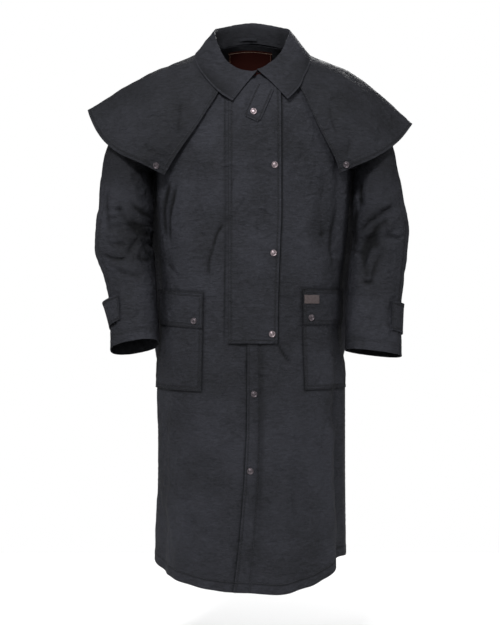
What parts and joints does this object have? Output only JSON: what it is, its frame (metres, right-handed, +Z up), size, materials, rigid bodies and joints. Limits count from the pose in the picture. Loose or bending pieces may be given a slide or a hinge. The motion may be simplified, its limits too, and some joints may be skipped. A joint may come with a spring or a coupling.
{
  "type": "duster coat",
  "caption": "Long waxed-cotton duster coat with shoulder cape, storm flap, patch pockets and cuff tabs, closed and filled out as worn.",
  "frame": {"origin": "middle of the base of the neck, level with the neck points where the coat rests on the wearer's shoulders", "axes": "+Z up, -Y the way the coat faces, +X towards the wearer's left sleeve"},
  "size_m": [0.7958, 0.3846, 1.3744],
  "materials": {
    "waxed_cotton": "waxed cotton, satin, finely crumpled",
    "snap_metal": "antiqued press-stud caps",
    "woven_label": "dark woven label and hanger loop",
    "patch_leather": "plain blind-edged leather patch"
  },
  "bodies": {
    "root": {"front_right": "waxed_cotton", "front_left": "waxed_cotton", "back": "waxed_cotton", "sleeve_right": "waxed_cotton", "sleeve_left": "waxed_cotton", "cape": "waxed_cotton", "collar": "waxed_cotton", "storm_flap": "waxed_cotton", "throat_tab": "waxed_cotton", "pocket_right": "waxed_cotton", "pocket_left": "waxed_cotton", "pocket_flap_right": "waxed_cotton", "pocket_flap_left": "waxed_cotton", "cuff_tab_right": "waxed_cotton", "cuff_tab_left": "waxed_cotton", "neck_label": "woven_label", "hanger_loop": "woven_label", "leather_patch": "patch_leather", "snap_flap_1": "snap_metal", "snap_flap_2": "snap_metal", "snap_flap_3": "snap_metal", "snap_placket_1": "snap_metal", "snap_placket_2": "snap_metal", "snap_throat": "snap_metal", "snap_pocket_right": "snap_metal", "snap_pocket_left": "snap_metal", "snap_cape_right": "snap_metal", "snap_cape_left": "snap_metal", "snap_cuff_right": "snap_metal", "snap_cuff_left": "snap_metal"}
  },
  "joints": []
}
